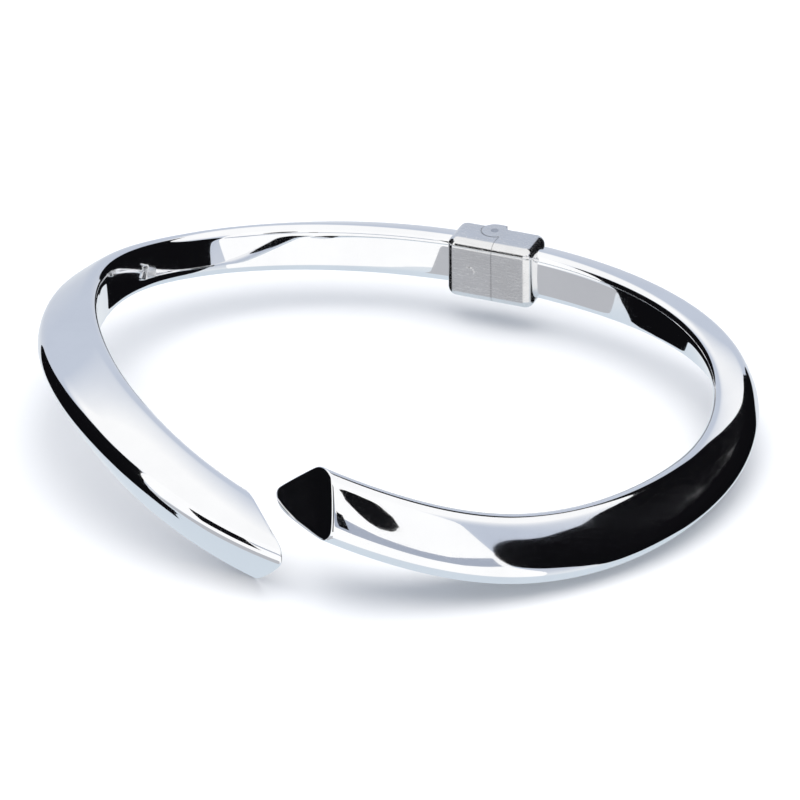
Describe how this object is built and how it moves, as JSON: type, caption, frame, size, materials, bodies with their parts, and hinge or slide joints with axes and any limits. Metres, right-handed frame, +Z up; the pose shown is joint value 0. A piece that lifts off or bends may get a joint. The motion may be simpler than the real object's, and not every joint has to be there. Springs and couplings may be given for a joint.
{
  "type": "bangle bracelet",
  "caption": "Hinged bypass bangle: two hollow twisting arms on a sprung box hinge, their slanted ends facing each other across a narrow slit.",
  "frame": {"origin": "centre of the wrist opening, at the middle height of the hinge", "axes": "+X to the right across the opening, +Y from the open ends back to the hinge, +Z up along the wrist"},
  "size_m": [0.069, 0.0571, 0.0123],
  "materials": {
    "polished_silver": "mirror-polished silver with fine hairline wear",
    "hinge_silver": "polished silver, slightly scuffed by wear against the skin",
    "inner_silver": "unpolished machined silver inside the hinge",
    "spring_steel": "bright spring steel"
  },
  "bodies": {
    "left_half": {"left_arm_tube": "polished_silver", "left_end_cap": "polished_silver", "left_hinge_box": "hinge_silver", "left_hinge_leaf": "inner_silver", "leaf_spring": "spring_steel", "spring_rivet": "hinge_silver"},
    "right_half": {"right_arm_tube": "polished_silver", "right_end_cap": "polished_silver", "right_hinge_box": "hinge_silver", "right_hinge_leaf": "hinge_silver", "hinge_pin": "spring_steel"}
  },
  "joints": [
    {"name": "bangle_hinge", "type": "hinge", "parent": "left_half", "child": "right_half", "pos_m": [0.0004, 0.02665, 0], "axis": [0, 0, 1], "range_deg": [0, 40], "stiffness_Nm_per_rad": 0.08, "springref_deg": -14.32, "deforming": ["leaf_spring"]}
  ]
}
